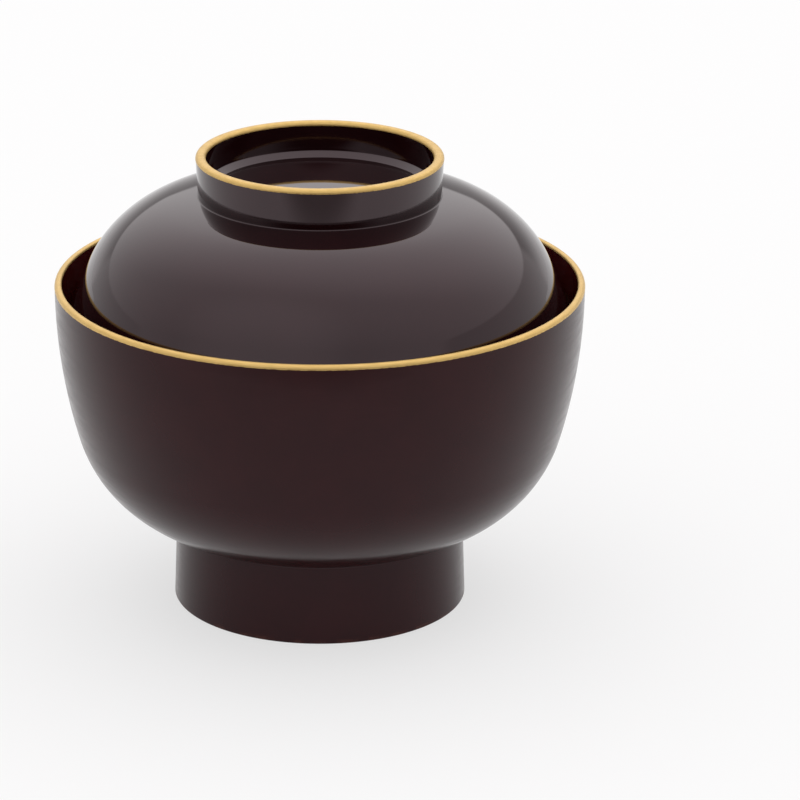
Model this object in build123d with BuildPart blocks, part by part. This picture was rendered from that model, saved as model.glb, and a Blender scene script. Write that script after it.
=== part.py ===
# Lacquer soup bowl with a lid: two turned wooden cores, their lacquer coats and the gold lines.
# Millimetres and degrees. +Z is the turning axis, and z = 0 is the surface that the foot stands on.
import os
from math import asin, degrees, radians, sqrt, tan

from build123d import *

os.makedirs("parts", exist_ok=True)

# Bowl, outside
bowl_radius = 65.5
rim_height = 82.6
rim_band = 1.4
wall_bow_radius = 137.5
wall_turn_angle = 15.9
belly_radius = 33.2
underside_slope = 20.0

# Bowl, inside
rim_lip = 1.9
rim_chamfer = 0.5
belly_wall = 4.6
bottom_thickness = 7.0

# Foot ring
foot_radius = 36.65
foot_taper = 2.0
foot_wall = 3.2
foot_edge_round = 0.3
foot_crease_round = 1.0
foot_well_round = 2.5

# Lid
seat_drop = 8.8
lid_clearance = 0.3
skirt_length = 10.6
skirt_lean = 20.85
shoulder_radius = 31.2
shoulder_turn_angle = 53.5
crown_radius = 55.0
lid_wall = 2.0
lid_edge_round = 0.8

# Knob ring on the lid
knob_base_radius = 30.0
knob_height = 9.83
knob_flare = 3.0
knob_lip = 2.55
knob_well_depth = 7.95
knob_floor_bow_radius = 430.0
knob_cove_width = 2.5
knob_cove_height = 1.2
knob_crease_round = 0.3

# Lacquer and gold
coat = 0.4
rim_gold_lap = 0.7
rim_gold_inner_lap = 0.3
knob_gold_lap = 0.65

# The knob ring's lip is rounded on each side by this share of its width, with a narrow flat between.
lip_rounding = 0.385

# The chamfer of a square corner is this much shorter, per millimetre, on a surface farther in.
chamfer_shrink = 2 - sqrt(2)

# Outlines are drawn past the axis and past the ends of the walls by this much, and then trimmed.
overrun = 6.0


def parallel(outline, amount):
    """An outline's area, grown by the amount on every side, or shrunk if it is negative."""
    with BuildSketch(Plane.XZ) as area:
        add(outline.sketch_local)
        if amount:
            offset(amount=amount, mode=Mode.REPLACE)
    return area.sketch_local


# The bowl's outside from the rim to the axis: a straight band, a bowed wall, a round belly and a
# straight underside
with BuildSketch(Plane.XZ) as bowl_outside:
    with BuildLine():
        band = Line((bowl_radius, rim_height), (bowl_radius, rim_height - rim_band))
        wall = JernArc(band @ 1, band % 1, wall_bow_radius, -wall_turn_angle)
        belly = JernArc(wall @ 1, wall % 1, belly_radius, wall_turn_angle + underside_slope - 90)
        underside_drop = ((belly @ 1).X + overrun) * tan(radians(underside_slope))
        Polyline(
            belly @ 1,
            (-overrun, (belly @ 1).Y - underside_drop),
            (-overrun, rim_height),
            band @ 0,
        )
    make_face()

# The bowl's hollow: its belly is parallel to the outside, and the wall thins from there to the rim.
belly_tangent = wall % 1
belly_normal = belly_tangent.rotate(Axis.Z, 90)
hollow_belly_start = wall @ 1 - belly_normal * belly_wall
throat = Vector(bowl_radius - rim_lip, rim_height - rim_band)
with BuildSketch(Plane.XZ) as bowl_hollow:
    with BuildLine():
        inner_wall = TangentArc(hollow_belly_start, throat, tangent=-belly_tangent)
        mouth = Line(throat, throat + (inner_wall % 1) * (rim_band + overrun))
        inner_radius = belly_radius - belly_wall
        inner_belly = JernArc(hollow_belly_start, belly_tangent, inner_radius, wall_turn_angle - 90)
        floor_height = (inner_belly @ 1).Y
        Polyline(
            inner_belly @ 1,
            (-overrun, floor_height),
            (-overrun, (mouth @ 1).Y),
            mouth @ 1,
        )
    make_face()

# The foot ring's outside, and the well inside it
foot_lean = tan(radians(foot_taper))
foot_well_height = floor_height - bottom_thickness
foot_well_radius = foot_radius - foot_wall
with BuildSketch(Plane.XZ) as foot_outside:
    with BuildLine():
        Polyline(
            (-overrun, -overrun),
            (foot_radius + overrun * foot_lean, -overrun),
            (foot_radius - floor_height * foot_lean, floor_height),
            (-overrun, floor_height),
            close=True,
        )
    make_face()
with BuildSketch(Plane.XZ) as foot_well:
    with BuildLine():
        Polyline(
            (-overrun, -overrun),
            (foot_well_radius + overrun * foot_lean, -overrun),
            (foot_well_radius - foot_well_height * foot_lean, foot_well_height),
            (-overrun, foot_well_height),
            close=True,
        )
    make_face()
    well_corner = foot_well.vertices().group_by(Axis.Y)[-1].sort_by(Axis.X)[-1]
    fillet(well_corner, foot_well_round)

# The lid's dome from its edge to the axis. The edge hangs inside the bowl's mouth, where it seats.
seat = inner_wall.position_at(inner_wall.length + rim_band - seat_drop, PositionMode.LENGTH)
lid_edge = Vector(seat.X - lid_clearance, seat.Y)
skirt_up = Vector(0, 1).rotate(Axis.Z, skirt_lean)
with BuildSketch(Plane.XZ) as dome:
    with BuildLine():
        skirt = Line(lid_edge - skirt_up * overrun, lid_edge + skirt_up * skirt_length)
        shoulder = JernArc(skirt @ 1, skirt_up, shoulder_radius, shoulder_turn_angle)
        crown = JernArc(shoulder @ 1, shoulder % 1, crown_radius, 90 - skirt_lean - shoulder_turn_angle)
        Polyline(crown @ 1, (-2 * overrun, (crown @ 1).Y), (-2 * overrun, (skirt @ 0).Y), skirt @ 0)
    make_face()

# The knob ring, a turned ring with a shallow well on top
crown_height = (crown @ 1).Y
knob_top = crown_height + knob_height
knob_lean = tan(radians(knob_flare))
knob_radius = knob_base_radius + knob_height * knob_lean
knob_well_floor = knob_top - knob_well_depth
with BuildSketch(Plane.XZ) as knob_outside:
    with BuildLine():
        Polyline(
            (-overrun, crown_height - overrun),
            (knob_base_radius - overrun * knob_lean, crown_height - overrun),
            (knob_radius, knob_top),
            (-overrun, knob_top),
            close=True,
        )
    make_face()

# The well's floor is slightly domed, and a cove leans from it to the ring's inner wall.
cove_radius = knob_radius - knob_lip - (knob_well_depth - knob_cove_height) * knob_lean
floor_edge_angle = degrees(asin((cove_radius - knob_cove_width) / knob_floor_bow_radius))
with BuildSketch(Plane.XZ) as knob_well:
    with BuildLine():
        well_floor = CenterArc(
            center=(0, knob_well_floor - knob_floor_bow_radius),
            radius=knob_floor_bow_radius,
            start_angle=90 - floor_edge_angle,
            arc_size=2 * floor_edge_angle,
        )
        cove_foot = well_floor @ 0
        Polyline(
            cove_foot,
            (cove_radius, cove_foot.Y + knob_cove_height),
            (knob_radius - knob_lip + overrun * knob_lean, knob_top + overrun),
            ((well_floor @ 1).X, knob_top + overrun),
            well_floor @ 1,
        )
    make_face()

# What lies beside the axis and above the standing surface is kept of each section.
with BuildSketch(Plane.XZ) as kept_area:
    Rectangle(bowl_radius + overrun, knob_top + overrun, align=(Align.MIN, Align.MIN))


def bowl_section(inset):
    """The bowl's section beside the axis, with its surfaces moved into the wood by the inset."""
    with BuildSketch(Plane.XZ) as section:
        add(parallel(bowl_outside, -inset))
        add(parallel(foot_outside, -inset))
        crease = section.vertices().filter_by_position(Axis.X, 0, bowl_radius).sort_by(Axis.X)[0]
        fillet(crease, foot_crease_round + inset)
        add(parallel(bowl_hollow, inset), mode=Mode.SUBTRACT)
        add(parallel(foot_well, inset), mode=Mode.SUBTRACT)
        rim_edges = section.vertices().group_by(Axis.Y)[-1]
        chamfer(rim_edges, rim_chamfer - inset * chamfer_shrink)
        add(kept_area.sketch_local, mode=Mode.INTERSECT)
    return section.sketch_local


def lid_section(inset):
    """The lid's section beside the axis, with its surfaces moved into the wood by the inset."""
    with BuildSketch(Plane.XZ) as section:
        add(parallel(dome, -inset))
        add(parallel(knob_outside, -inset))
        crease = section.vertices().filter_by_position(Axis.X, 0, bowl_radius).sort_by(Axis.X)[0]
        fillet(crease, knob_crease_round + inset)
        add(parallel(dome, inset - lid_wall), mode=Mode.SUBTRACT)
        add(parallel(knob_well, inset), mode=Mode.SUBTRACT)
        with Locations((0, lid_edge.Y + inset)):
            Rectangle(bowl_radius, knob_top, align=(Align.MIN, Align.MIN), mode=Mode.INTERSECT)
        fillet(section.vertices().group_by(Axis.Y)[-1], lip_rounding * knob_lip - inset)
        fillet(section.vertices().group_by(Axis.Y)[0], lid_edge_round - inset)
    return section.sketch_local


def gold_cap(skin, lip_middle, top, outer_lap, inner_lap):
    """The part of a skin that caps a core's lip, and laps down each of its sides by that much."""
    with BuildSketch(Plane.XZ) as cap:
        with Locations((lip_middle, top)):
            Rectangle(overrun, coat + outer_lap, align=(Align.MIN, Align.MAX))
            Rectangle(overrun, coat + inner_lap, align=(Align.MAX, Align.MAX))
        add(skin, mode=Mode.INTERSECT)
    return cap.sketch_local


# The bowl's core section, and the skin of lacquer and gold around it
bowl_core_section = bowl_section(coat)
with BuildSketch(Plane.XZ) as bowl_skin:
    add(bowl_section(0))
    fillet(bowl_skin.vertices().group_by(Axis.Y)[0], foot_edge_round)
    add(bowl_core_section, mode=Mode.SUBTRACT)

# The gold line caps the rim, and parts the bowl's coats from each other.
rim_middle = bowl_radius - rim_lip / 2
rim_gold_section = gold_cap(
    bowl_skin.sketch_local, rim_middle, rim_height, rim_gold_lap, rim_gold_inner_lap
)
with BuildSketch(Plane.XZ) as bowl_coats:
    add(bowl_skin.sketch_local)
    add(rim_gold_section, mode=Mode.SUBTRACT)
foot_well_face, bowl_inner_face, bowl_outer_face = bowl_coats.sketch_local.faces().sort_by(Axis.X)

# The lid's core section, and the skin of lacquer and gold around it
lid_core_section = lid_section(coat)
with BuildSketch(Plane.XZ) as lid_skin:
    add(lid_section(0))
    add(lid_core_section, mode=Mode.SUBTRACT)

# The gold line caps the knob ring. The lid's inner and outer coats meet in the middle of its edge.
knob_middle = knob_radius - knob_lip / 2
knob_gold_section = gold_cap(
    lid_skin.sketch_local, knob_middle, knob_top, knob_gold_lap, knob_gold_lap
)
lid_inner_half = parallel(dome, -lid_wall / 2)
with BuildSketch(Plane.XZ) as lid_inner_section:
    add(lid_skin.sketch_local)
    add(lid_inner_half, mode=Mode.INTERSECT)
with BuildSketch(Plane.XZ) as lid_coats:
    add(lid_skin.sketch_local)
    add(knob_gold_section, mode=Mode.SUBTRACT)
    add(lid_inner_half, mode=Mode.SUBTRACT)
knob_well_face, lid_outer_face = lid_coats.sketch_local.faces().sort_by(Axis.X)

# Bowl: the turned core with its foot ring
with BuildPart() as bowl_core:
    with BuildSketch(Plane.XZ):
        add(bowl_core_section)
    revolve(axis=Axis.Z)

# Bowl: lacquer on the outside, down to the foot's land
with BuildPart() as bowl_outer_coat:
    with BuildSketch(Plane.XZ):
        add(bowl_outer_face)
    revolve(axis=Axis.Z)

# Bowl: lacquer on the inside
with BuildPart() as bowl_inner_coat:
    with BuildSketch(Plane.XZ):
        add(bowl_inner_face)
    revolve(axis=Axis.Z)

# Bowl: lacquer in the well under the bowl
with BuildPart() as foot_well_coat:
    with BuildSketch(Plane.XZ):
        add(foot_well_face)
    revolve(axis=Axis.Z)

# Bowl: gold line on the rim
with BuildPart() as rim_gold_line:
    with BuildSketch(Plane.XZ):
        add(rim_gold_section)
    revolve(axis=Axis.Z)

# Lid: the turned core with its knob ring
with BuildPart() as lid_core:
    with BuildSketch(Plane.XZ):
        add(lid_core_section)
    revolve(axis=Axis.Z)

# Lid: lacquer on the outside, from the edge up the knob ring's wall
with BuildPart() as lid_outer_coat:
    with BuildSketch(Plane.XZ):
        add(lid_outer_face)
    revolve(axis=Axis.Z)

# Lid: lacquer on the underside
with BuildPart() as lid_inner_coat:
    with BuildSketch(Plane.XZ):
        add(lid_inner_section.sketch_local)
    revolve(axis=Axis.Z)

# Lid: lacquer in the knob ring's well
with BuildPart() as knob_well_coat:
    with BuildSketch(Plane.XZ):
        add(knob_well_face)
    revolve(axis=Axis.Z)

# Lid: gold line on the knob ring
with BuildPart() as knob_gold_line:
    with BuildSketch(Plane.XZ):
        add(knob_gold_section)
    revolve(axis=Axis.Z)

pieces = {
    "bowl_core": bowl_core,
    "bowl_outer_coat": bowl_outer_coat,
    "bowl_inner_coat": bowl_inner_coat,
    "foot_well_coat": foot_well_coat,
    "rim_gold_line": rim_gold_line,
    "lid_core": lid_core,
    "lid_outer_coat": lid_outer_coat,
    "lid_inner_coat": lid_inner_coat,
    "knob_well_coat": knob_well_coat,
    "knob_gold_line": knob_gold_line,
}
for name, piece in pieces.items():
    piece.part.label = name
    export_step(piece.part, f"parts/{name}.step")
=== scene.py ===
from math import asin, atan2, ceil, cos, hypot, radians, sin, tan

import bmesh
import bpy
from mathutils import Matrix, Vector
from mathutils.geometry import intersect_line_line


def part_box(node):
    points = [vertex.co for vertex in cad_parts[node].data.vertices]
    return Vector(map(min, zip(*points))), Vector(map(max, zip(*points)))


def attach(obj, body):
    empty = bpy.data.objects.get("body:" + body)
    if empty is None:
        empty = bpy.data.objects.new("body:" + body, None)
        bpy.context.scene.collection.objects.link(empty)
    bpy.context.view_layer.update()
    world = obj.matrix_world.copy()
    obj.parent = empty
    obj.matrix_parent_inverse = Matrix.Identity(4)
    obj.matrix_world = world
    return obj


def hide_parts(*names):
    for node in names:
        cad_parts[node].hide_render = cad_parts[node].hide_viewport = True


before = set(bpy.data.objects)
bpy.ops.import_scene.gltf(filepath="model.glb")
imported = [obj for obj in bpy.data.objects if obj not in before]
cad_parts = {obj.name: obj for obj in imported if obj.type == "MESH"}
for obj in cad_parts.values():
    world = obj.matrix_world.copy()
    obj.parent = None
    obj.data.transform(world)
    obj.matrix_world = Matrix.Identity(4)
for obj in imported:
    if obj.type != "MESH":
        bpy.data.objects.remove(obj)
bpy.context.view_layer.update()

# Directions of an outline in its plane, out from the turning axis and up
outwards = 0.0
upwards = radians(90)
inwards = radians(180)
downwards = radians(-90)

# An outline's free side, the side that the lacquer or gold shows on
left = 1.0
right = -1.0

# Lengths are in metres. The coat is as thick as the frame's coats are.
coat = 0.0004
on_axis = 0.0
land_height = 0.0

# Heights and radii that the frame gives
bowl_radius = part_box("rim_gold_line")[1].x
rim_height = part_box("rim_gold_line")[1].z
rim_gold_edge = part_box("bowl_outer_coat")[1].z
rim_gold_inner_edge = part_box("bowl_inner_coat")[1].z
bowl_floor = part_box("bowl_inner_coat")[0].z + coat
foot_well_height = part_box("foot_well_coat")[1].z - coat
lid_edge_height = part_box("lid_outer_coat")[0].z
knob_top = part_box("knob_gold_line")[1].z
knob_gold_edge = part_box("lid_outer_coat")[1].z
knob_gold_inner_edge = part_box("knob_well_coat")[1].z

# Bowl
rim_band = 0.0014
rim_lip = 0.0019
rim_round = 0.0006
rim_outer_round = 0.00105
wall_bow_radius = 0.1375
wall_turn = radians(15.9)
belly_radius = 0.0332
belly_wall = 0.0046
underside_slope = radians(20)
foot_radius = 0.03665
foot_taper = radians(2)
foot_wall = 0.0032
foot_edge_round = 0.00035
foot_crease_round = 0.001
foot_well_round = 0.0025

# Lid
lid_edge_radius = 0.06214
skirt_length = 0.0106
skirt_lean = radians(20.85)
shoulder_radius = 0.0312
shoulder_turn = radians(53.5)
crown_radius = 0.055
crown_slope_at_knob = radians(8.5)
lid_wall = 0.002
lid_edge_round = 0.0008

# Knob ring on the lid
knob_base_radius = 0.030
knob_height = 0.00983
knob_flare = radians(3)
knob_lip = 0.00255
knob_lip_round = 0.00098
knob_crease_round = 0.0003
knob_well_depth = 0.00795
knob_floor_bow_radius = 0.430
knob_cove_width = 0.0018
knob_cove_height = 0.00133
knob_cove_round = 0.0004
knob_cove_crease_round = 0.0002

# The lacquer's skin as it is drawn here, and the gold that lies on it and laps over its end
skin = 0.0003
gold_film = 0.00004
gold_lap = 0.0002

# How far up from its edge a gold line sways, and by how much, as a hand-held brush leaves it
brush_reach = 0.0005
brush_sway = 0.000025

# How far from its height an edge is rubbed, and from its end a gold line is thin
rubbed_reach = 0.0016
thin_gold_reach = 0.0002

# The longest step along an outline and round a curve, and the steps round a turned piece
fine_step = 0.0006
curve_step = radians(7.5)
turning_steps = 256
gold_turning_steps = 720

# Points nearer than this are one point, and an edge that turns more than this looks sharp
merge_distance = 0.000001
sharp_turn = radians(35)


class Outline:
    """A line in the plane y = 0, drawn as a turner's template, that a piece is turned from."""

    def __init__(self, radius, height, heading):
        self.mesh = bmesh.new()
        self.end = self.mesh.verts.new((radius, 0, height))
        self.heading = heading

    def ahead(self):
        return Vector((cos(self.heading), 0, sin(self.heading)))

    def straight(self, length):
        steps = max(1, ceil(length / fine_step))
        for _ in range(steps):
            made = bmesh.ops.extrude_vert_indiv(self.mesh, verts=[self.end])
            self.end = made["verts"][0]
            bmesh.ops.translate(self.mesh, verts=[self.end], vec=self.ahead() * length / steps)

    def to_height(self, height):
        self.straight((height - self.end.co.z) / sin(self.heading))

    def to_radius(self, radius):
        self.straight((radius - self.end.co.x) / cos(self.heading))

    def curve(self, radius, turn):
        """A curve of that radius. A positive turn goes to the left."""
        side = left if turn > 0 else right
        to_centre = Vector((-sin(self.heading), 0, cos(self.heading))) * side * radius
        steps = max(ceil(abs(turn) * radius / fine_step), ceil(abs(turn) / curve_step))
        made = bmesh.ops.spin(
            self.mesh,
            geom=[self.end],
            cent=self.end.co + to_centre,
            axis=(0, 1, 0),
            angle=-turn,
            steps=steps,
        )
        self.end = next(v for v in made["geom_last"] if isinstance(v, bmesh.types.BMVert))
        self.heading += turn

    def meet(self, radius, height, heading, rounding):
        """Goes on to the straight line through that point, and rounds the corner into it."""
        line_start = Vector((radius, 0, height))
        line_ahead = Vector((cos(heading), 0, sin(heading)))
        here = self.end.co.copy()
        corner = intersect_line_line(here, here + self.ahead(), line_start, line_start + line_ahead)[0]
        turn = (heading - self.heading + radians(180)) % radians(360) - radians(180)
        self.straight((corner - here).length - rounding * tan(abs(turn) / 2))
        self.curve(rounding, turn)


def turned(outline, free_side, steps):
    """The surface that an outline makes when it is turned round the axis, facing its free side."""
    mesh = outline.mesh
    mesh.verts.ensure_lookup_table()
    first, second = mesh.verts[0].co.copy(), mesh.verts[1].co.copy()
    bmesh.ops.spin(
        mesh,
        geom=mesh.verts[:] + mesh.edges[:],
        cent=(0, 0, 0),
        axis=(0, 0, 1),
        angle=radians(90),
        steps=steps // 4,
    )
    for axis in "XY":
        whole = mesh.verts[:] + mesh.edges[:] + mesh.faces[:]
        bmesh.ops.mirror(mesh, geom=whole, axis=axis, merge_dist=merge_distance)
    bmesh.ops.remove_doubles(mesh, verts=mesh.verts[:], dist=merge_distance)
    bmesh.ops.recalc_face_normals(mesh, faces=mesh.faces[:])
    along = second - first
    free_way = Vector((-along.z, 0, along.x)) * free_side
    middle = (first + second) / 2
    nearest = min(mesh.faces, key=lambda face: (face.calc_center_median() - middle).length)
    if nearest.normal.dot(free_way) < 0:
        bmesh.ops.reverse_faces(mesh, faces=mesh.faces[:])
    return mesh


def finished_piece(name, mesh, thickness, material, body):
    """Gives a turned surface its thickness, and sets it in the place of the node of that name."""
    bmesh.ops.solidify(mesh, geom=mesh.faces[:], thickness=thickness)
    for face in mesh.faces:
        face.smooth = True
    for edge in mesh.edges:
        edge.smooth = edge.calc_face_angle(0) < sharp_turn
    data = bpy.data.meshes.new(name + "_skin")
    mesh.to_mesh(data)
    mesh.free()
    data.materials.append(material)
    piece = bpy.data.objects.new(name + "_skin", data)
    bpy.context.scene.collection.objects.link(piece)
    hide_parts(name)
    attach(piece, body)


# The bowl's main points: the wall's lower end, the belly's centre, and the mouth's line
wall_end_way = Vector((cos(wall_turn), 0, -sin(wall_turn)))
wall_bow_centre = Vector((bowl_radius - wall_bow_radius, 0, rim_height - rim_band))
wall_end = wall_bow_centre + wall_end_way * wall_bow_radius
belly_centre = wall_end - wall_end_way * belly_radius
inner_belly_radius = belly_radius - belly_wall
inner_wall_start = belly_centre + wall_end_way * inner_belly_radius
inner_wall_heading = upwards - wall_turn
throat = Vector((bowl_radius - rim_lip, 0, rim_height - rim_band))
inner_wall_chord = throat - inner_wall_start
inner_wall_turn = 2 * (atan2(inner_wall_chord.z, inner_wall_chord.x) - inner_wall_heading)
inner_wall_radius = inner_wall_chord.length / (2 * sin(inner_wall_turn / 2))
mouth_heading = inner_wall_heading + inner_wall_turn

# The lid's edge is rounded on both sides, with a narrow flat between, and its coats meet on the flat.
edge_width = lid_wall / cos(skirt_lean)
edge_outer_reach = lid_edge_round * tan(radians(45) + skirt_lean / 2)
edge_inner_reach = lid_edge_round * tan(radians(45) - skirt_lean / 2)
edge_middle = lid_edge_radius - (edge_width + edge_outer_reach - edge_inner_reach) / 2

# The knob ring's radii at its top, its well's floor, and the cove at the foot of its inner wall
knob_radius = knob_base_radius + knob_height * tan(knob_flare)
knob_inner_radius = knob_radius - knob_lip
knob_floor = knob_top - knob_well_depth
cove_radius = knob_inner_radius - (knob_well_depth - knob_cove_height) * tan(knob_flare)
floor_edge_angle = asin((cove_radius - knob_cove_width) / knob_floor_bow_radius)
floor_edge_height = knob_floor - knob_floor_bow_radius * (1 - cos(floor_edge_angle))
cove_heading = atan2(knob_cove_height, knob_cove_width)


def bowl_outside():
    """Down the rim's band, the bowed wall, the belly and the underside to the foot ring's land."""
    line = Outline(bowl_radius - gold_film, rim_gold_edge + gold_lap, downwards)
    line.to_height(rim_height - rim_band)
    line.curve(wall_bow_radius, -wall_turn)
    line.curve(belly_radius, wall_turn + underside_slope - radians(90))
    line.meet(foot_radius, land_height, downwards + foot_taper, foot_crease_round)
    line.meet(foot_radius, land_height, inwards, foot_edge_round)
    line.to_radius(foot_radius - coat)
    return turned(line, left, turning_steps)


def bowl_inside():
    """Out across the floor and up the inner wall, as far as the gold."""
    line = Outline(on_axis, bowl_floor, outwards)
    line.to_radius(belly_centre.x + gold_film)
    line.curve(inner_belly_radius, inner_wall_heading)
    line.curve(inner_wall_radius, inner_wall_turn)
    line.to_height(rim_gold_inner_edge + gold_lap)
    return turned(line, left, turning_steps)


def foot_well():
    """Up the foot ring's inner wall and in across the well's ceiling."""
    line = Outline(foot_radius - foot_wall + coat, land_height, inwards)
    line.meet(foot_radius - foot_wall, land_height, upwards + foot_taper, foot_edge_round)
    line.meet(on_axis, foot_well_height, inwards, foot_well_round)
    line.to_radius(on_axis)
    return turned(line, left, turning_steps)


def lid_outside():
    """Round the lid's edge, up the skirt, over the shoulder and the crown, and up the knob ring."""
    line = Outline(edge_middle, lid_edge_height, outwards)
    line.meet(lid_edge_radius, lid_edge_height, upwards + skirt_lean, lid_edge_round)
    line.to_height(lid_edge_height + skirt_length * cos(skirt_lean))
    line.curve(shoulder_radius, shoulder_turn)
    line.curve(crown_radius, upwards - skirt_lean - shoulder_turn - crown_slope_at_knob)
    line.meet(knob_base_radius - gold_film, knob_top - knob_height, upwards - knob_flare, knob_crease_round)
    line.to_height(knob_gold_edge + gold_lap)
    return turned(line, right, turning_steps)


def lid_underside():
    """Round the lid's edge, up inside the skirt and in under the crown, parallel to the outside."""
    line = Outline(edge_middle, lid_edge_height, inwards)
    line.meet(lid_edge_radius - edge_width, lid_edge_height, upwards + skirt_lean, lid_edge_round)
    line.to_height(lid_edge_height + skirt_length * cos(skirt_lean) - lid_wall * sin(skirt_lean))
    line.curve(shoulder_radius - lid_wall, shoulder_turn)
    line.curve(crown_radius - lid_wall, upwards - skirt_lean - shoulder_turn)
    line.to_radius(on_axis)
    return turned(line, left, turning_steps)


def knob_well():
    """Out over the well's domed floor, up the cove and the ring's inner wall, as far as the gold."""
    line = Outline(on_axis, knob_floor, outwards)
    line.curve(knob_floor_bow_radius, knob_cove_round / knob_floor_bow_radius - floor_edge_angle)
    line.meet(cove_radius, floor_edge_height + knob_cove_height, cove_heading, knob_cove_round)
    line.meet(knob_inner_radius + gold_film, knob_top, upwards - knob_flare, knob_cove_crease_round)
    line.to_height(knob_gold_inner_edge + gold_lap)
    return turned(line, left, turning_steps)


def brush_wave(around):
    """A brush's slow and quick swaying along its way round, which closes on itself."""
    slow = 0.5 * sin(5 * around) + 0.4 * sin(13 * around + 1.3)
    quick = 0.3 * sin(31 * around + 0.4) + 0.2 * sin(67 * around + 2.2)
    return slow + quick


def hand_brushed(mesh, lip_middle, outer_edge, inner_edge):
    """Moves a gold line's two edges a little up and down, each in its own way."""
    for vert in mesh.verts:
        outside = hypot(vert.co.x, vert.co.y) > lip_middle
        edge = outer_edge if outside else inner_edge
        share = 1 - (vert.co.z - edge) / brush_reach
        if share > 0:
            start = 0.0 if outside else 2.1
            vert.co.z += brush_sway * share * brush_wave(atan2(vert.co.y, vert.co.x) + start)


def rim_gold():
    """Up the inside of the rim, over its lip and down the outside."""
    start_radius = throat.x + (rim_gold_inner_edge - throat.z) / tan(mouth_heading)
    line = Outline(start_radius, rim_gold_inner_edge, mouth_heading)
    line.meet(on_axis, rim_height, outwards, rim_round)
    line.meet(bowl_radius, rim_height, downwards, rim_outer_round)
    line.to_height(rim_gold_edge)
    mesh = turned(line, left, gold_turning_steps)
    hand_brushed(mesh, bowl_radius - rim_lip / 2, rim_gold_edge, rim_gold_inner_edge)
    return mesh


def knob_gold():
    """Up the inside of the knob ring, over its lip and down the outside."""
    start_radius = knob_inner_radius - (knob_top - knob_gold_inner_edge) * tan(knob_flare)
    line = Outline(start_radius, knob_gold_inner_edge, upwards - knob_flare)
    line.meet(on_axis, knob_top, outwards, knob_lip_round)
    line.meet(knob_radius, knob_top, downwards - knob_flare, knob_lip_round)
    line.to_height(knob_gold_edge)
    mesh = turned(line, left, gold_turning_steps)
    hand_brushed(mesh, knob_radius - knob_lip / 2, knob_gold_edge, knob_gold_inner_edge)
    return mesh


class Mixing:
    """A tree of nodes while it is being put together."""

    def __init__(self, tree):
        self.nodes = tree.nodes
        self.links = tree.links

    def ranged(self, value, span, levels):
        """Takes a value's span smoothly over to the levels at its two ends."""
        node = self.nodes.new("ShaderNodeMapRange")
        node.interpolation_type = "SMOOTHSTEP"
        node.inputs["From Min"].default_value = span[0]
        node.inputs["From Max"].default_value = span[1]
        node.inputs["To Min"].default_value = levels[0]
        node.inputs["To Max"].default_value = levels[1]
        self.links.new(value, node.inputs["Value"])
        return node.outputs["Result"]

    def joined(self, operation, first, second):
        """One step of arithmetic with two values."""
        node = self.nodes.new("ShaderNodeMath")
        node.operation = operation
        self.links.new(first, node.inputs[0])
        self.links.new(second, node.inputs[1])
        return node.outputs["Value"]

    def mixed(self, share, first, second):
        """A value between two values."""
        node = self.nodes.new("ShaderNodeMix")
        node.data_type = "FLOAT"
        self.links.new(share, node.inputs["Factor"])
        self.links.new(first, node.inputs["A"])
        self.links.new(second, node.inputs["B"])
        return node.outputs["Result"]

    def vector(self, operation, first, second):
        """One step of vector arithmetic with a constant."""
        node = self.nodes.new("ShaderNodeVectorMath")
        node.operation = operation
        node.inputs[1].default_value = second
        self.links.new(first, node.inputs[0])
        return node

    def coordinate(self, vector, letter):
        """One of a vector's three coordinates."""
        parts = self.nodes.new("ShaderNodeSeparateXYZ")
        self.links.new(vector, parts.inputs["Vector"])
        return parts.outputs[letter]


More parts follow.
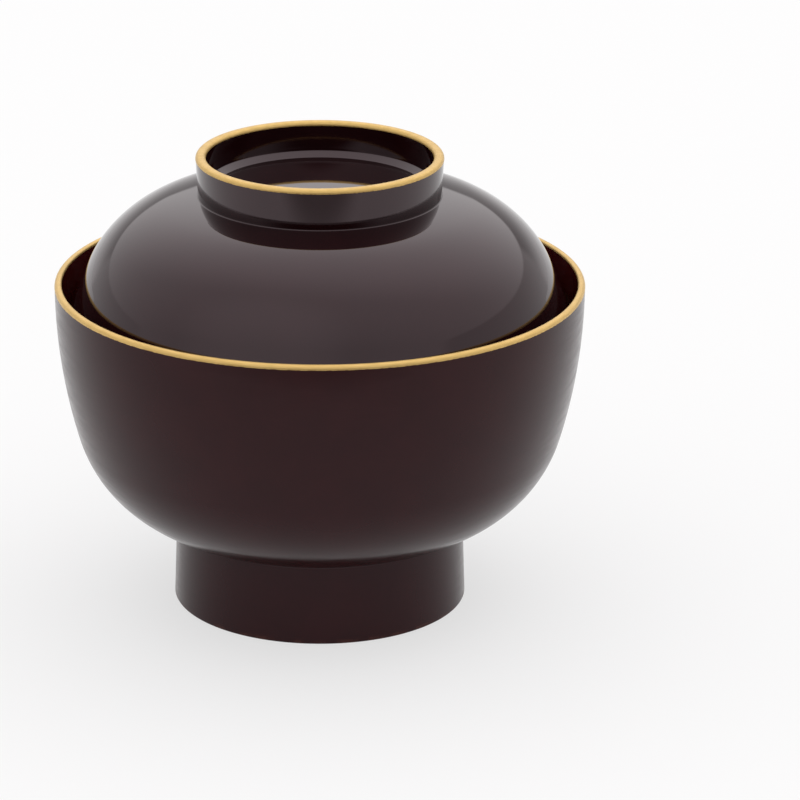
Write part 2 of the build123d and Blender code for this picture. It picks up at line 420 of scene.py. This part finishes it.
class Finish(Mixing):
    """A material while it is being mixed. Its patterns follow the piece's own coordinates."""

    def __init__(self, name):
        self.material = bpy.data.materials.new(name)
        self.material.use_nodes = True
        super().__init__(self.material.node_tree)
        self.shader = self.nodes["Principled BSDF"]
        self.place = self.nodes.new("ShaderNodeTexCoord").outputs["Object"]

    def fix(self, **constants):
        """Sets the shader's sockets that are the same all over, with _ for a space in a name."""
        for name, value in constants.items():
            self.shader.inputs[name.replace("_", " ")].default_value = value

    def lead(self, output, socket):
        self.links.new(output, self.shader.inputs[socket])

    def brush_way(self, around, up):
        """Coordinates along a brush that goes round the axis, with no seam."""
        ring = self.vector("MULTIPLY", self.place, (1, 1, 0)).outputs["Vector"]
        ring = self.vector("NORMALIZE", ring, (0, 0, 0)).outputs["Vector"]
        ring = self.vector("MULTIPLY", ring, (around, around, 0)).outputs["Vector"]
        both = self.vector("MULTIPLY_ADD", self.place, (0, 0, up))
        self.links.new(ring, both.inputs[2])
        return both.outputs["Vector"]

    def noise(self, vector, scale, detail):
        texture = self.nodes.new("ShaderNodeTexNoise")
        texture.inputs["Scale"].default_value = scale
        texture.inputs["Detail"].default_value = detail
        self.links.new(vector, texture.inputs["Vector"])
        return texture.outputs["Fac"]

    def spread(self, noise, low, high):
        """Spreads a noise's middle range over low to high."""
        return self.ranged(noise, span=(0.3, 0.7), levels=(low, high))

    def near_height(self, height, reach, patches):
        """How rubbed a place is: most at a height, none a reach above or below it, in patches."""
        offset = self.vector("SUBTRACT", self.place, (0, 0, height)).outputs["Vector"]
        away = self.vector("ABSOLUTE", offset, (0, 0, 0)).outputs["Vector"]
        close = self.ranged(self.coordinate(away, "Z"), span=(0, reach), levels=(1, 0))
        return self.joined("MULTIPLY", close, self.ranged(patches, span=(0.4, 0.62), levels=(0, 1)))

    def tones(self, value, first, second):
        """A colour between two tones."""
        ramp = self.nodes.new("ShaderNodeValToRGB")
        ramp.color_ramp.elements[0].color = (*first, 1)
        ramp.color_ramp.elements[1].color = (*second, 1)
        self.links.new(value, ramp.inputs["Fac"])
        return ramp.outputs["Color"]

    def worn_tone(self, wear, colour, bare):
        """A colour that goes over to a bare tone where it is worn."""
        mix = self.nodes.new("ShaderNodeMix")
        mix.data_type = "RGBA"
        self.links.new(wear, mix.inputs["Factor"])
        self.links.new(colour, mix.inputs["A"])
        mix.inputs["B"].default_value = (*bare, 1)
        return mix.outputs["Result"]

    def worn_gloss(self, wear, roughness, dull):
        """A roughness that goes over to a dull one where it is worn."""
        mix = self.nodes.new("ShaderNodeMix")
        mix.data_type = "FLOAT"
        self.links.new(wear, mix.inputs["Factor"])
        self.links.new(roughness, mix.inputs["A"])
        mix.inputs["B"].default_value = dull
        return mix.outputs["Result"]

    def relief(self, height, distance, strength):
        """Fine raised detail in the surface."""
        bump = self.nodes.new("ShaderNodeBump")
        bump.inputs["Strength"].default_value = strength
        bump.inputs["Distance"].default_value = distance
        self.links.new(height, bump.inputs["Height"])
        self.lead(bump.outputs["Normal"], "Normal")


def lacquer(name, dark, light, roughness, rubbed_height, specular_level):
    """Dark red-brown lacquer: cloudy depth, faint brush strokes, a fine polish and a rubbed edge."""
    finish = Finish(name)
    clouds = finish.spread(finish.noise(finish.place, scale=90, detail=4), low=0, high=1)
    strokes = finish.noise(finish.brush_way(around=6, up=900), scale=1, detail=3)
    patches = finish.noise(finish.brush_way(around=9, up=260), scale=1, detail=4)
    rubbed = finish.near_height(rubbed_height, rubbed_reach, patches)
    rubbed_tone = (0.060, 0.017, 0.011)
    rubbed_roughness = 0.38
    finish.lead(finish.worn_tone(rubbed, finish.tones(clouds, dark, light), rubbed_tone), "Base Color")
    polish = finish.spread(strokes, *roughness)
    finish.lead(finish.worn_gloss(rubbed, polish, rubbed_roughness), "Roughness")
    finish.relief(strokes, distance=0.000004, strength=0.12)
    # The pink specular tint is a painted reflection colour: it makes the lacquer's reflections pink,
    # standing in for pinkish light around the bowl.
    finish.fix(IOR=1.5, Specular_IOR_Level=specular_level, Specular_Tint=(1, 0.81, 0.86, 1))
    return finish.material


def dusted_gold(name, edge_height):
    """Gold powder dusted on wet lacquer: even, fine-grained, and thinner along its brushed edge."""
    finish = Finish(name)
    brushed = finish.noise(finish.brush_way(around=18, up=2500), scale=1, detail=4)
    strokes = finish.spread(brushed, low=0, high=1)
    grains = finish.noise(finish.place, scale=5000, detail=3)
    patches = finish.noise(finish.brush_way(around=70, up=900), scale=1, detail=4)
    thin = finish.near_height(edge_height, thin_gold_reach, patches)
    gold = finish.tones(strokes, (0.64, 0.425, 0.14), (0.72, 0.485, 0.17))
    lacquer_under = (0.16, 0.075, 0.03)
    finish.lead(finish.worn_tone(thin, gold, lacquer_under), "Base Color")
    finish.lead(finish.spread(grains, low=0.32, high=0.46), "Roughness")
    finish.relief(grains, distance=0.000012, strength=0.3)
    finish.fix(Metallic=0.6, IOR=1.5, Specular_IOR_Level=0.3)
    return finish.material


def turned_wood(name):
    """Bare wood with growth rings, turned across the grain, as the foot's land shows it."""
    finish = Finish(name)
    across = finish.nodes.new("ShaderNodeMapping")
    across.inputs["Scale"].default_value = (30, 400, 30)
    finish.links.new(finish.place, across.inputs["Vector"])
    rings = finish.noise(across.outputs["Vector"], scale=1, detail=5)
    late_wood = (0.11, 0.055, 0.024)
    early_wood = (0.27, 0.15, 0.07)
    finish.lead(finish.tones(finish.spread(rings, low=0, high=1), late_wood, early_wood), "Base Color")
    finish.lead(finish.spread(rings, low=0.75, high=0.5), "Roughness")
    finish.relief(rings, distance=0.0001, strength=0.4)
    return finish.material


# The lid's lacquer is the bowl's lacquer with about half its base colour. This is painted shade over the
# whole lid, standing in for the shade that the knob ring casts on the crown in front of it.
lid_lacquer_painted_shade = lacquer(
    "lid lacquer painted shade",
    dark=(0.0092, 0.0016, 0.0021),
    light=(0.0113, 0.0021, 0.0026),
    roughness=(0.03, 0.06),
    rubbed_height=lid_edge_height,
    specular_level=0.64,
)
bowl_lacquer = lacquer(
    "bowl lacquer",
    dark=(0.0190, 0.0024, 0.0028),
    light=(0.0230, 0.0030, 0.0034),
    roughness=(0.16, 0.24),
    rubbed_height=land_height,
    specular_level=0.24,
)
# The inner lacquer is lighter and redder than the bowl's. Part of that is the lacquer's own redder tone
# inside, and part is painted light that lifts the shaded hollows of the bowl and the lid's underside.
inner_lacquer_painted_light = lacquer(
    "inner lacquer painted light",
    dark=(0.047, 0.0034, 0.0038),
    light=(0.055, 0.0042, 0.0046),
    roughness=(0.04, 0.08),
    rubbed_height=lid_edge_height,
    specular_level=0.5,
)
rim_finish = dusted_gold("rim gold", rim_gold_edge)
knob_finish = dusted_gold("knob gold", knob_gold_edge)
wood = turned_wood("turned wood")

finished_piece("bowl_outer_coat", bowl_outside(), skin, bowl_lacquer, "bowl")
finished_piece("bowl_inner_coat", bowl_inside(), skin, inner_lacquer_painted_light, "bowl")
finished_piece("foot_well_coat", foot_well(), skin, bowl_lacquer, "bowl")
finished_piece("rim_gold_line", rim_gold(), gold_film * 2, rim_finish, "bowl")
finished_piece("lid_outer_coat", lid_outside(), skin, lid_lacquer_painted_shade, "lid")
finished_piece("lid_inner_coat", lid_underside(), skin, inner_lacquer_painted_light, "lid")
finished_piece("knob_well_coat", knob_well(), skin, lid_lacquer_painted_shade, "lid")
finished_piece("knob_gold_line", knob_gold(), gold_film * 2, knob_finish, "lid")
for core in ("bowl_core", "lid_core"):
    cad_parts[core].data.materials.clear()
    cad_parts[core].data.materials.append(wood)


def studio_floor():
    """A wide pale floor, white under and behind the bowl, and painted grey well in front of it as painted
    shade for the bowl's reflections to mirror.
    """
    floor_reach = 1.2
    painted_shade_span = (-0.29, -0.235)
    painted_shade_colour = (0.38, 0.38, 0.38)
    white_paint = (0.84, 0.84, 0.84)
    painted_shade_as_seen = (0.44, 0.44, 0.44)
    white_as_seen = (1, 1, 1)
    seen_share = 0.6
    mesh = bmesh.new()
    bmesh.ops.create_grid(mesh, x_segments=1, y_segments=1, size=floor_reach)
    data = bpy.data.meshes.new("studio_floor")
    mesh.to_mesh(data)
    mesh.free()
    floor = bpy.data.objects.new("studio_floor", data)
    bpy.context.scene.collection.objects.link(floor)
    finish = Finish("studio floor with painted shade")
    # Painted shade: in front of the bowl the floor is painted grey, both in its own colour and as seen, so
    # that the bowl's lower side and the knob ring mirror a dark floor there.
    unshaded_share = finish.ranged(finish.coordinate(finish.place, "Y"), span=painted_shade_span, levels=(0, 1))
    finish.lead(finish.tones(unshaded_share, painted_shade_colour, white_paint), "Base Color")
    finish.fix(Roughness=0.9, Specular_IOR_Level=0)
    # Seen by the camera and in reflections, the floor is nearly its own colour, with a pale shadow.
    rays = finish.nodes.new("ShaderNodeLightPath").outputs
    mirrored = finish.joined("ADD", rays["Is Glossy Ray"], rays["Is Transmission Ray"])
    seen = finish.joined("ADD", rays["Is Camera Ray"], mirrored)
    plain = finish.nodes.new("ShaderNodeEmission")
    finish.links.new(finish.tones(unshaded_share, painted_shade_as_seen, white_as_seen), plain.inputs["Color"])
    mix = finish.nodes.new("ShaderNodeMixShader")
    finish.links.new(finish.ranged(seen, span=(0, 1), levels=(0, seen_share)), mix.inputs["Fac"])
    finish.links.new(finish.shader.outputs["BSDF"], mix.inputs[1])
    finish.links.new(plain.outputs["Emission"], mix.inputs[2])
    finish.links.new(mix.outputs["Shader"], finish.nodes["Material Output"].inputs["Surface"])
    data.materials.append(finish.material)


def studio_light():
    """A soft white dome with two soft lamps, over a backdrop that is dim at the sides and in front."""
    world = bpy.data.worlds.new("studio light")
    world.use_nodes = True
    bpy.context.scene.world = world
    light = Mixing(world.node_tree)
    background = light.nodes["Background"]
    way = light.nodes.new("ShaderNodeTexCoord").outputs["Generated"]

    def toward(direction, span, levels):
        """Levels of light by how far a way goes in a direction."""
        share = light.vector("DOT_PRODUCT", way, direction).outputs["Value"]
        return light.ranged(share, span, levels)

    dome = toward((0.15, 0.45, 0.88), span=(-1, 1), levels=(0.55, 1.09))
    lamp_behind = toward((0.119, 0.561, 0.819), span=(0.5, 1), levels=(0, 0.42))
    lamp_in_front = toward((-0.433, -0.75, 0.5), span=(0.7, 1), levels=(0, 0.20))
    lit_dome = light.joined("ADD", light.joined("ADD", dome, lamp_behind), lamp_in_front)
    backdrop = toward((0, 0, 1), span=(-0.05, 0.22), levels=(0.93, 0.48))
    sides = toward((0, 1, 0), span=(-0.95, -0.45), levels=(0.04, 0.74))
    behind = toward((0, 1, 0), span=(0.77, 0.83), levels=(0, 1))
    below_dome = light.mixed(behind, sides, backdrop)
    dome_edge = toward((-0.06, 0.02, 1), span=(0.215, 0.241), levels=(0, 1))
    soft_front_edge = toward((0, 0.5, 1), span=(-0.22, -0.1), levels=(0, 1))
    within_dome = light.joined("MULTIPLY", dome_edge, soft_front_edge)
    light.links.new(light.mixed(within_dome, below_dome, lit_dome), background.inputs["Strength"])
    background.inputs["Color"].default_value = (1, 0.985, 0.99, 1)


def photo_camera():
    """The camera as it stood for the photograph, with a long lens and the bowl left of the middle."""
    look_down = 0.3472
    data = bpy.data.cameras.new("camera")
    data.sensor_width = 36
    data.lens = 194.82
    data.shift_x = 0.1002
    camera = bpy.data.objects.new("camera", data)
    camera.location = (0, -1.01618, 0.41827)
    camera.rotation_euler = (upwards - look_down, 0, 0)
    bpy.context.scene.collection.objects.link(camera)
    bpy.context.scene.camera = camera


studio_floor()
studio_light()
photo_camera()
bpy.context.scene.view_settings.view_transform = "Standard"
